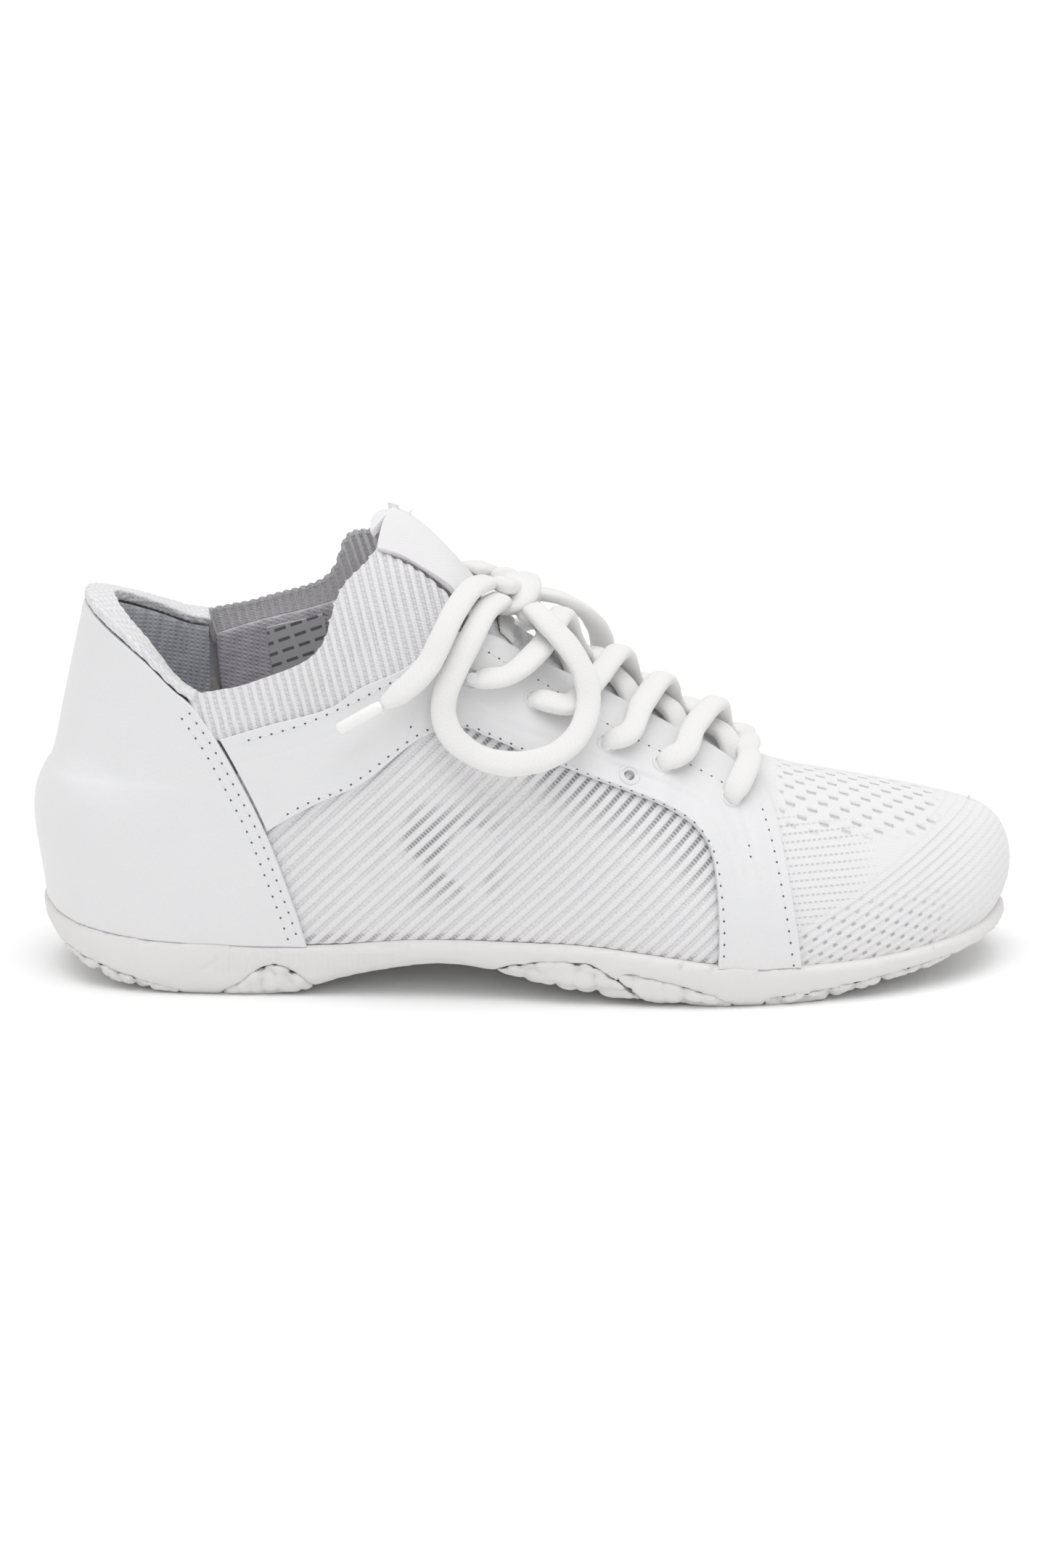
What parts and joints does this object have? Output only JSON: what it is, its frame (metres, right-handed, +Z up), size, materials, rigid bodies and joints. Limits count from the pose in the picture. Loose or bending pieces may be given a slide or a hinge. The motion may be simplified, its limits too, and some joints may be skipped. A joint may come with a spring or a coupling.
{
  "type": "cheer shoe",
  "caption": "Low white cheer shoe for the right foot: knit upper with leather heel wrap and eyestays, moulded rubber sole, laces tied in a bow.",
  "frame": {"origin": "on the floor under the middle of the shoe's outline, laces' free ends left out", "axes": "+X from heel to toe, -Y towards the outer (lateral) side, +Z up"},
  "size_m": [0.2646, 0.0926, 0.1252],
  "materials": {
    "synthetic_leather": "smooth white synthetic leather, faint sheen",
    "stretch_knit": "white engineered knit, ribbed",
    "lining_textile": "pale grey woven lining",
    "foam": "open-cell foam, hidden",
    "stiffener_board": "pressed fibre board, hidden",
    "label_tape": "thin printed tape",
    "sole_rubber": "matt moulded white rubber",
    "lace_cotton": "soft woven oval lace",
    "aglet_plastic": "thin clear tip over the lace"
  },
  "bodies": {
    "shoe": {"heel_wrap": "synthetic_leather", "collar_strap_lateral": "synthetic_leather", "collar_strap_medial": "synthetic_leather", "eyestay_lateral": "synthetic_leather", "eyestay_medial": "synthetic_leather", "quarter_knit_lateral": "stretch_knit", "quarter_knit_medial": "stretch_knit", "vamp_knit": "stretch_knit", "tongue": "stretch_knit", "rib_collar_lateral": "stretch_knit", "rib_collar_medial": "stretch_knit", "heel_lining": "lining_textile", "side_lining_lateral": "lining_textile", "side_lining_medial": "lining_textile", "collar_roll": "lining_textile", "insole": "lining_textile", "collar_foam": "foam", "heel_stiffener": "stiffener_board", "lasting_board": "stiffener_board", "size_label": "label_tape", "midsole_rear": "sole_rubber", "heel_rear_tread": "sole_rubber", "heel_front_tread": "sole_rubber", "ball_rear_tread": "sole_rubber", "ball_front_tread": "sole_rubber", "bow_knot": "lace_cotton", "lace_keeper": "lace_cotton", "lace_strand_5": "lace_cotton", "bow_loop_lateral": "lace_cotton", "bow_loop_medial": "lace_cotton", "lace_end_lateral": "lace_cotton", "lace_end_medial": "lace_cotton", "lace_strand_1_lateral": "lace_cotton", "lace_strand_1_medial": "lace_cotton", "lace_strand_2_lateral": "lace_cotton", "lace_strand_2_medial": "lace_cotton", "lace_strand_3_lateral": "lace_cotton", "lace_strand_3_medial": "lace_cotton", "lace_strand_4_lateral": "lace_cotton", "lace_strand_4_medial": "lace_cotton", "aglet_lateral": "aglet_plastic", "aglet_medial": "aglet_plastic"},
    "toe": {"toe_tread": "sole_rubber", "midsole_toe": "sole_rubber", "toe_knit": "stretch_knit", "toe_puff": "stiffener_board"},
    "tab": {"tongue_tab": "stretch_knit"}
  },
  "joints": [
    {"name": "toe_flex", "type": "hinge", "parent": "shoe", "child": "toe", "pos_m": [0.06196, 0.00053, 0.0125], "axis": [0, -1, 0], "range_deg": [0, 30], "stiffness_Nm_per_rad": 1.5, "deforming": ["vamp_knit", "eyestay_lateral", "eyestay_medial", "insole", "lasting_board"]},
    {"name": "tongue_pull", "type": "hinge", "parent": "shoe", "child": "tab", "pos_m": [-0.01454, 0.00053, 0.1015], "axis": [0, 1, 0], "range_deg": [0, 12], "stiffness_Nm_per_rad": 0.15, "deforming": ["rib_collar_lateral", "rib_collar_medial"]}
  ]
}
